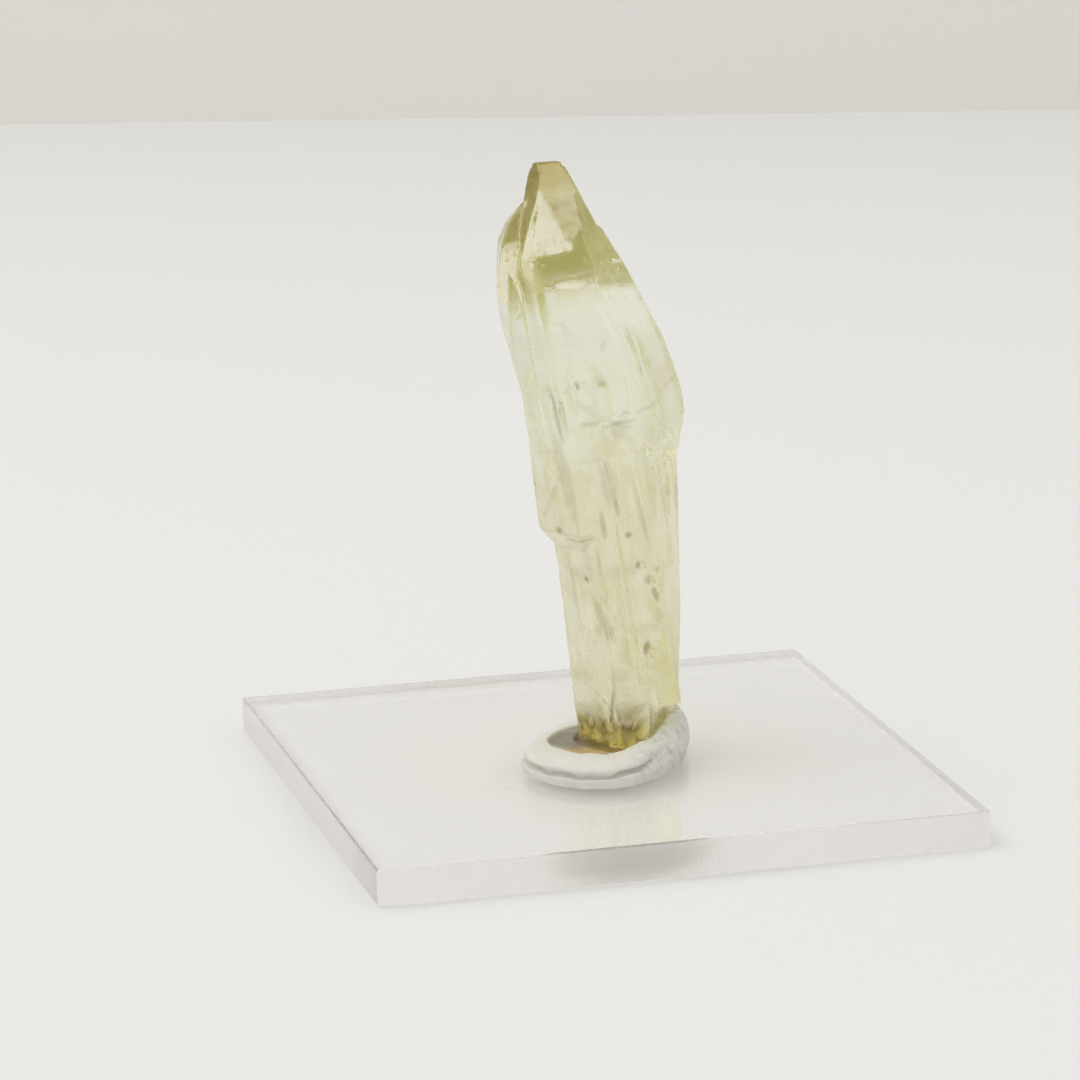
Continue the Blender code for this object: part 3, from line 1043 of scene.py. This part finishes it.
def flecked_places(tree: Tree, across: Socket, up: Socket) -> Socket:
    """Where flecks lie: along the window's lower rim and at the olive band's right end.

    Args:
        tree: the geometry tree.
        across: how far right a vertex lies.
        up: how far up it lies.

    Returns:
        1 where flecks lie.
    """
    window_rim = tree.product(
        tree.smooth(up, 41.2, 41.9), tree.smooth(up, 43.4, 42.7), tree.smooth(across, 2.6, 2.0)
    )
    band_end = tree.product(
        tree.smooth(up, 38.2, 38.8), tree.smooth(up, 40.9, 40.2), tree.smooth(across, 4.6, 5.2)
    )
    return tree.math("ADD", window_rim, band_end)


def foot_cracks(tree: Tree, place: Socket) -> Socket:
    """The cracks between the crumbs of the crystal's foot.

    Args:
        tree: the geometry tree.
        place: where they are read.

    Returns:
        1 in the middle of a crack.
    """
    cells = tree.node("ShaderNodeTexVoronoi", feature="DISTANCE_TO_EDGE")
    tree.feed(cells.inputs["Vector"], tree.vector("MULTIPLY", place, (1.0, 1.0, 0.6)))
    tree.feed(cells.inputs["Scale"], 0.8)
    return tree.smooth(cells.outputs["Distance"], 0.3, 0.0)


def crystal_tree(finish: HeliodorFinish, etching: Etching) -> bpy.types.NodeTree:
    """Etches the crystal's surface inwards, and stores its zones, with their painted shade and light, and
    its dull patches.

    Args:
        finish: the finish that reads what is stored.
        etching: the sizes that it takes.

    Returns:
        The geometry group.
    """
    tree, given, out = new_shaping("etched crystal", etching)
    size = given.outputs
    surface = size["Geometry"]
    place = tree.node("GeometryNodeInputPosition").outputs[0]
    across, _, up = tree.split(place)
    _, facing, _ = tree.split(tree.node("GeometryNodeInputNormal").outputs[0])
    front = tree.smooth(facing, -0.15, -0.5)
    back = tree.smooth(facing, 0.2, 0.5)

    # The growth lines run up the crystal. They and the pits fade above its etched part.
    drawn_out = tree.vector("MULTIPLY", place, (1.0, 1.0, 0.07))
    lines = tree.noise(tree.vector("DIVIDE", drawn_out, size["Line Width"]), 1.0, 1.0, 0.5)
    etched_part = tree.smooth(up, 37.0, 33.0)
    lines = tree.product(lines, tree.math("MULTIPLY_ADD", etched_part, 0.8, 0.2))
    ripple = tree.noise(place, 0.55, 1.0, 0.5)
    many = tree.product(size["Pits"], etched_part)
    pit = scatter(tree, surface, many, size["Pit Radius"], size["Seed"])
    many = tree.product(size["Flecks"], tree.product(flecked_places(tree, across, up), front))
    next_seed = tree.math("ADD", size["Seed"], 1.0)
    fleck = scatter(tree, surface, many, size["Fleck Radius"], next_seed)

    # The back is nibbled where the olive band's lower edge is seen through the front.
    band_edge = tree.product(tree.smooth(up, 34.4, 35.4), tree.smooth(up, 36.6, 35.8), back)
    nibbled = tree.product(tree.noise(place, 1.1), band_edge)
    cracks = foot_cracks(tree, place)
    at_foot = tree.product(tree.smooth(up, 3.4, 1.8), tree.smooth(across, 2.6, 1.0))

    depth = tree.product(lines, size["Line Depth"])
    for relief, deep in (
        (ripple, "Ripple Depth"),
        (pit, "Pit Depth"),
        (fleck, "Pit Depth"),
        (nibbled, "Nibbled Edge"),
        (tree.product(cracks, at_foot), "Crumble"),
    ):
        depth = tree.math("MULTIPLY_ADD", relief, size[deep], depth)

    # How dull it is: in the flecks, the etched part, hazy patches, the back and the low flank.
    frost = fleck
    for patch, dull in (
        (tree.smooth(up, 38.8, 37.2), "Etched Dullness"),
        (tree.smooth(tree.noise(place, 0.45), 0.45, 0.75), "Haze Dullness"),
        (tree.product(back, tree.smooth(up, 34.0, 38.0)), "Back Dullness"),
        (tree.product(tree.smooth(across, 4.2, 5.2), tree.smooth(up, 14.0, 9.0)), "Flank Dullness"),
    ):
        frost = tree.math("MULTIPLY_ADD", patch, size[dull], frost)
    # Painted shade in the cracks between the foot's crumbs, and a little over the whole foot.
    stain = tree.product(at_foot, tree.math("MULTIPLY_ADD", cracks, 0.9, 0.05))

    shape = mark_group()
    for mark in FRONT_MARKS:
        oval = tree.node("GeometryNodeGroup", node_tree=shape)
        oval.inputs["Middle"].default_value = (mark.across, 0.0, mark.height)
        oval.inputs["Half Width"].default_value = mark.half_width
        oval.inputs["Half Length"].default_value = mark.half_length
        oval.inputs["Lean"].default_value = -math.radians(mark.lean)
        mask = tree.product(oval.outputs["Mask"], front)
        depth = tree.math("MULTIPLY_ADD", mask, MARK_RELIEF * mark.depth, depth)
        if mark.frost:
            frost = tree.math("MULTIPLY_ADD", mask, mark.frost, frost)
        if mark.stain:
            stain = tree.math("MULTIPLY_ADD", mask, mark.stain, stain)

    tone = crystal_zones(tree, place, front, ZONES)
    # The painted shade of the marks and the foot is laid over the zones.
    tone = tree.mix(tree.math("MINIMUM", stain, MOST_PAINTED_SHADE), tone, PAINTED_SHADE_TONE)
    dressed = store(tree, surface, finish.zone_attribute, "FLOAT_COLOR", tone)
    dressed = store(tree, dressed, finish.frost_attribute, "FLOAT", tree.math("MINIMUM", frost, 1.0))
    etched = shift_along_normal(tree, dressed, tree.product(depth, -1.0))
    finish_tree(tree, etched, given, out)
    return tree.tree


@dataclass(frozen=True)
class Pressing:
    """The sizes that the pressed putty's tree takes, in millimetres.

    The crease climbs by that much of the way to the right, and the roll lies so high over it.
    The hollow is the room left open beside the crystal's foot.
    """

    middle: Triple = (0.4, -1.6, 0.0)
    turn: float = math.radians(15.0)
    crease_height: float = 3.95
    crease_climb: float = 0.16
    crease_depth: float = 0.42
    crease_width: float = 0.26
    roll: float = 0.16
    roll_height: float = 0.55
    roll_width: float = 0.6
    dimples: float = 0.45
    grain: float = 0.07
    underside: float = 2.97
    hollow_at: Triple = (-1.9, -0.9, 4.4)
    hollow_reach: Triple = (2.8, 3.6, 0.85)


def putty_tree(finish: PuttyFinish, pressing: Pressing) -> bpy.types.NodeTree:
    """Presses the putty: its crease and the roll over it, finger marks, grain and its foot.

    Args:
        finish: the finish that reads what is stored.
        pressing: the sizes that it takes.

    Returns:
        The geometry group.
    """
    tree, given, out = new_shaping("pressed putty", pressing)
    size = given.outputs
    place = tree.node("GeometryNodeInputPosition").outputs[0]
    turned = tree.node("ShaderNodeVectorRotate", rotation_type="Z_AXIS")
    tree.feed(turned.inputs["Vector"], place)
    tree.feed(turned.inputs["Angle"], size["Turn"])
    across, deep, up = tree.split(tree.vector("SUBTRACT", turned.outputs[0], size["Middle"]))

    # The crease wavers, and climbs to the right. The roll lies over it.
    climb = tree.product(tree.math("MAXIMUM", across, 0.0), size["Crease Climb"])
    above = tree.math("SUBTRACT", up, tree.math("ADD", size["Crease Height"], climb))
    wave = tree.math("MULTIPLY_ADD", tree.noise(place, 0.5, 2.0, 0.5), 0.5, -0.25)
    above = tree.math("ADD", above, wave)
    at_front = tree.product(tree.smooth(across, 4.6, 2.6), tree.smooth(deep, -1.4, -3.0))
    from_crease = tree.math("DIVIDE", tree.math("ABSOLUTE", above), size["Crease Width"])
    crease = tree.product(tree.smooth(from_crease, 1.0, 0.0), at_front)
    from_roll = tree.math("ABSOLUTE", tree.math("SUBTRACT", above, size["Roll Height"]))
    from_roll = tree.math("DIVIDE", from_roll, size["Roll Width"])
    roll = tree.product(tree.smooth(from_roll, 1.0, 0.0), at_front)

    rough_side = tree.smooth(across, 0.5, 4.5)
    dimples = tree.math("SUBTRACT", tree.noise(place, 0.55, 3.0, 0.55), 0.5)
    lumps = tree.math("SUBTRACT", tree.noise(place, 1.8), 0.5)
    grain = tree.math("SUBTRACT", tree.noise(place, 5.0), 0.5)
    lump_size = tree.math("MULTIPLY_ADD", rough_side, 0.35, 0.05)
    out_by = tree.product(roll, size["Roll"])
    for relief, height in ((dimples, size["Dimples"]), (lumps, lump_size), (grain, size["Grain"])):
        out_by = tree.math("MULTIPLY_ADD", relief, height, out_by)
    out_by = tree.math("SUBTRACT", out_by, tree.product(crease, size["Crease Depth"]))
    pressed = shift_along_normal(tree, size["Geometry"], out_by)

    # Where it lies in the hollow, at its far wall or on its floor, or under the crystal's foot: the places
    # of painted shade.
    share = tree.vector("SUBTRACT", place, size["Hollow At"])
    share = tree.vector("DIVIDE", share, size["Hollow Reach"])
    _, far_side, _ = tree.split(share)
    _, _, facing_up = tree.split(tree.node("GeometryNodeInputNormal").outputs[0])
    reach = tree.vector("LENGTH", tree.vector("MULTIPLY", share, (1.0, 1.0, 0.0)))
    in_hollow = tree.product(tree.smooth(reach, 1.06, 0.90), tree.smooth(up, 3.2, 3.4))
    far_wall = tree.product(in_hollow, tree.smooth(far_side, -0.1, 0.4))
    floor = tree.product(in_hollow, tree.smooth(far_side, 0.4, -0.1))
    in_pocket = tree.product(tree.smooth(reach, 1.4, 1.2), tree.smooth(facing_up, -0.3, 0.1))
    below_foot = tree.product(in_pocket, tree.smooth(up, 3.8, 3.55))

    # Painted shade: in the crease, between the lumps, over the rough right side, which faces away from the
    # lamp, and most on the hollow's far wall, which lies in shadow.
    between_lumps = tree.smooth(tree.product(lumps, rough_side), 0.0, -0.12)
    grub = tree.product(crease, 0.6)
    for patch, shade_weight in ((between_lumps, 0.35), (rough_side, 0.22), (far_wall, 1.3)):
        grub = tree.math("MULTIPLY_ADD", patch, shade_weight, grub)
    # Painted golden shade on the hollow's floor and under the crystal's foot.
    warm = tree.math("MAXIMUM", floor, below_foot)
    marked = store(tree, pressed, finish.grub_attribute, "FLOAT", tree.math("MINIMUM", grub, 1.6))
    marked = store(tree, marked, finish.warm_attribute, "FLOAT", warm)

    # Its foot is stuck flat to the square, all but the floors that look up.
    x, y, z = tree.split(tree.node("GeometryNodeInputPosition").outputs[0])
    open_floor = tree.math("MAXIMUM", in_pocket, tree.smooth(facing_up, 0.3, 0.6))
    foot = tree.product(tree.smooth(z, 3.75, 3.4), tree.math("SUBTRACT", 1.0, open_floor))
    stuck = tree.node("ShaderNodeMix", data_type="FLOAT")
    tree.feed(stuck.inputs[0], foot)
    tree.feed(stuck.inputs[2], z)
    tree.feed(stuck.inputs[3], size["Underside"])
    joined = tree.node("ShaderNodeCombineXYZ")
    for socket, value in zip(joined.inputs, (x, y, stuck.outputs[0])):
        tree.feed(socket, value)
    low = tree.node("GeometryNodeSetPosition")
    tree.feed(low.inputs["Geometry"], marked)
    tree.feed(low.inputs["Position"], joined.outputs[0])
    finish_tree(tree, low.outputs[0], given, out)
    return tree.tree


def named_sizes(sizes: Any) -> dict[str, Any]:
    """A dataclass's values under their inputs' names: line_width is Line Width."""
    return {name.replace("_", " ").title(): value for name, value in asdict(sizes).items()}


def new_shaping(name: str, sizes: Any) -> tuple[Tree, bpy.types.Node, bpy.types.Node]:
    """Starts a geometry tree that shapes a piece and gives it a material.

    Args:
        name: the group's name.
        sizes: a dataclass of the sizes that it takes.

    Returns:
        The tree, its input node and its output node.
    """
    inputs = {
        "Geometry": "NodeSocketGeometry",
        **named_sizes(sizes),
        "Material": "NodeSocketMaterial",
    }
    return new_group(name, "GeometryNodeTree", inputs, "Geometry", "NodeSocketGeometry")


def finish_tree(tree: Tree, geometry: Socket, given: bpy.types.Node, out: bpy.types.Node) -> None:
    """Ends a geometry tree with Realize Instances and Set Material.

    Args:
        tree: the tree.
        geometry: what it has made.
        given: its input node, which has a Material.
        out: its output node.
    """
    real = tree.node("GeometryNodeRealizeInstances")
    dressed = tree.node("GeometryNodeSetMaterial")
    tree.feed(real.inputs[0], geometry)
    tree.feed(dressed.inputs["Geometry"], real.outputs[0])
    tree.feed(dressed.inputs["Material"], given.outputs["Material"])
    tree.feed(out.inputs["Geometry"], dressed.outputs[0])


# The sub-assemblies


@dataclass
class AcrylicBase:
    """The clear square. Its CAD shape is right, so it only gets its finish."""

    effects: Effects
    finish: AcrylicFinish = AcrylicFinish()

    def dress(self) -> bpy.types.Object:
        """Puts the finish on the CAD node.

        Returns:
            The node's object.
        """
        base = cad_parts[Node.BASE.value]
        base.data.materials.clear()
        base.data.materials.append(self.finish.make(self.effects))
        return base


@dataclass
class MountingPutty:
    """The pad of putty around the crystal's foot, rolled over and creased at its front.

    Its sizes are in millimetres. The floor is the disc that closes the crystal's socket.
    """

    effects: Effects
    finish: PuttyFinish = PuttyFinish()
    pressing: Pressing = Pressing()
    voxel: float = 0.13
    floor_at: Triple = (0.5, 1.7, 3.42)
    floor_radius: float = 2.7

    def hollow(self) -> bpy.types.Object:
        """The rounded cutter that opens the pad beside the crystal's foot.

        Returns:
            The cutter.
        """
        bm = bmesh.new()
        reach = Matrix.Diagonal((*self.pressing.hollow_reach, 1.0))
        shape = Matrix.Translation(self.pressing.hollow_at) @ reach
        bmesh.ops.create_icosphere(bm, subdivisions=3, radius=1.0, matrix=shape)
        return object_from("hollow", bm)

    def floor(self) -> bpy.types.Object:
        """The disc that closes the socket's floor under the crystal's foot.

        Returns:
            The disc.
        """
        bm = bmesh.new()
        x, y, top = self.floor_at
        low = self.pressing.underside
        bmesh.ops.create_cone(
            bm,
            cap_ends=True,
            segments=32,
            radius1=self.floor_radius,
            radius2=self.floor_radius,
            depth=top - low,
            matrix=Matrix.Translation((x, y, (top + low) / 2.0)),
        )
        return object_from("socket_floor", bm)

    def build(self) -> bpy.types.Object:
        """Makes the pad's mesh.

        Returns:
            The piece.
        """
        pad = merged_copy(Node.PUTTY, Matrix.Scale(1.0 / MM, 4))
        lowest = min(vertex.co.z for vertex in pad.verts)
        for vertex in pad.verts:
            if vertex.co.z < lowest + self.voxel / 2.0:
                vertex.co.z = self.pressing.underside
        piece = object_from("putty_pad", pad)
        helpers = (self.hollow(), self.floor())
        for helper, operation in zip(helpers, ("DIFFERENCE", "UNION")):
            change = piece.modifiers.new(helper.name, "BOOLEAN")
            change.object = helper
            change.operation = operation
        even_out(piece, self.voxel, rounds=8)
        pressed = piece.modifiers.new("pressed", "NODES")
        pressed.node_group = putty_tree(self.finish, self.pressing)
        set_inputs(pressed, {**named_sizes(self.pressing), "Material": self.finish.make(self.effects)})
        bake_modifiers(piece)
        for helper in helpers:
            bpy.data.objects.remove(helper, do_unlink=True)
        piece.data.transform(Matrix.Scale(MM, 4))
        smooth_shade(piece)
        return piece

    def dress(self, piece: bpy.types.Object) -> bpy.types.Object:
        """Gives the pad its place in the frame.

        Args:
            piece: the pad.

        Returns:
            The pad.
        """
        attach(piece, Body.ROOT.value)
        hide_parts(Node.PUTTY.value)
        return piece


@dataclass
class HeliodorCrystal:
    """The crystal: its CAD facets, etched in fine relief."""

    effects: Effects
    finish: HeliodorFinish = HeliodorFinish()
    etching: Etching = Etching()
    voxel: float = 0.152

    def place(self) -> Matrix:
        """The crystal frame in the world: millimetres at the leaning foot."""
        _, lean, turn = self.finish.turn
        return (
            Matrix.Scale(MM, 4)
            @ Matrix.Translation(self.finish.foot)
            @ Matrix.Rotation(turn, 4, "Z")
            @ Matrix.Rotation(lean, 4, "Y")
        )

    def build(self) -> bpy.types.Object:
        """Makes the crystal's mesh in its own frame, then puts it in its place.

        Returns:
            The piece.
        """
        place = self.place()
        piece = object_from("heliodor", merged_copy(Node.CRYSTAL, place.inverted()))
        even_out(piece, self.voxel, rounds=5)
        relief = piece.modifiers.new("etching", "NODES")
        relief.node_group = crystal_tree(self.finish, self.etching)
        set_inputs(relief, {**named_sizes(self.etching), "Material": self.finish.make(self.effects)})
        bake_modifiers(piece)
        piece.data.transform(place)
        smooth_shade(piece)
        return piece

    def dress(self, piece: bpy.types.Object) -> bpy.types.Object:
        """Gives the crystal its place in the frame.

        Args:
            piece: the crystal.

        Returns:
            The crystal.
        """
        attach(piece, Body.ROOT.value)
        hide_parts(Node.CRYSTAL.value)
        return piece


@dataclass
class LightTent:
    """The pale floor, the backdrop and the soft light."""

    floor_reach: float = 3.0
    floor_drop: float = 0.00005
    wall_left: Triple = (-0.40, 0.452, 0.0)
    wall_right: Triple = (0.55, 0.194, 0.0)
    wall_height: float = 0.2
    wall_tone: Triple = (0.81, 0.80, 0.765)
    key_spot: Triple = (-0.35, 0.05, 0.65)
    key_aim: Triple = (0.0, 0.05, 0.02)
    key_size: float = 0.45
    key_power: float = 1.0
    low_glow: Tone = colour(0.80, 0.78, 0.76)
    high_glow: Tone = colour(1.0, 1.0, 1.0)
    glow_strength: float = 0.93

    def sheet(self, name: str, corners: Sequence[Triple], finish: PaperFinish) -> bpy.types.Object:
        """One flat sheet of the tent.

        Args:
            name: its name.
            corners: its corners, anticlockwise from the side that is seen.
            finish: its paper.

        Returns:
            The sheet.
        """
        bm = bmesh.new()
        bm.faces.new([bm.verts.new(corner) for corner in corners])
        made = object_from(name, bm)
        made.data.materials.append(finish.make())
        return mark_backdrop(made)

    def build(self) -> None:
        """Makes the floor and the backdrop."""
        reach, low = self.floor_reach, -self.floor_drop
        self.sheet(
            "floor",
            ((-reach, -reach, low), (reach, -reach, low), (reach, reach, low), (-reach, reach, low)),
            PaperFinish(name="floor_paper"),
        )
        left, right, up = Vector(self.wall_left), Vector(self.wall_right), Vector((0, 0, self.wall_height))
        self.sheet(
            "backdrop",
            (left, right, right + up, left + up),
            PaperFinish(name="backdrop_paper", tone=self.wall_tone, one_sided=True),
        )

    def light(self) -> None:
        """Hangs the square soft lamp and sets the tent's own glow, brighter overhead."""
        data = bpy.data.lights.new("key", "AREA")
        data.size = self.key_size
        data.energy = self.key_power
        key = bpy.data.objects.new("key", data)
        bpy.context.scene.collection.objects.link(key)
        key.location = self.key_spot
        aim = Vector(self.key_aim) - Vector(self.key_spot)
        key.rotation_euler = aim.to_track_quat("-Z", "Y").to_euler()
        world = bpy.data.worlds.new("tent")
        world.use_nodes = True
        tree = Tree(world.node_tree)
        glow = world.node_tree.nodes["Background"]
        source = tree.node("ShaderNodeTexCoord")
        _, _, up = tree.split(source.outputs["Generated"])
        overhead = tree.smooth(up, -0.1, 0.8)
        tree.feed(glow.inputs["Color"], tree.mix(overhead, self.low_glow, self.high_glow))
        glow.inputs["Strength"].default_value = self.glow_strength
        bpy.context.scene.world = world


@dataclass
class ViewCamera:
    """The camera at the photograph's viewing angle."""

    spot: Triple = (-107.09943, -380.94354, 122.83086)
    right: Triple = (0.96486307, -0.2623811, -0.01397886)
    up: Triple = (0.07840383, 0.23672331, 0.96840844)
    forward: Triple = (0.25078295, 0.93547754, -0.24897726)
    lens: float = 166.667
    sensor: float = 36.0

    def build(self) -> bpy.types.Object:
        """Makes the camera and gives it to the scene.

        Returns:
            The camera.
        """
        data = bpy.data.cameras.new("view")
        data.lens = self.lens
        data.sensor_width = self.sensor
        data.clip_start = 0.01
        data.clip_end = 20.0
        made = bpy.data.objects.new("view", data)
        bpy.context.scene.collection.objects.link(made)
        columns = (self.right, self.up, [-value for value in self.forward])
        turn = Matrix(columns).transposed().to_4x4()
        made.matrix_world = Matrix.Translation(Vector(self.spot) * MM) @ turn
        bpy.context.scene.camera = made
        return made


def let_light_through(bounces: int = 24) -> None:
    """Lets light run its course inside the clear pieces, which reflect it many times.

    Args:
        bounces: how often a path may be turned.
    """
    paths = bpy.context.scene.cycles
    paths.blur_glossy = 0.0
    paths.max_bounces = bounces
    paths.glossy_bounces = bounces
    paths.transmission_bounces = bounces


def main() -> None:
    """Builds the camera, the tent and the pieces in order, and reports each piece."""
    logging.basicConfig(level=logging.INFO, format="%(message)s")
    ViewCamera().build()
    tent = LightTent()
    tent.build()
    tent.light()
    bpy.context.scene.view_settings.view_transform = "Standard"
    let_light_through()
    effects = Effects()
    base = AcrylicBase(effects).dress()
    log.info("%s: %d triangles", base.name, len(base.data.polygons))
    for maker in (MountingPutty(effects), HeliodorCrystal(effects)):
        piece = maker.dress(maker.build())
        piece.data.calc_loop_triangles()
        log.info("%s: %d triangles", piece.name, len(piece.data.loop_triangles))


if __name__ == "__main__":
    main()
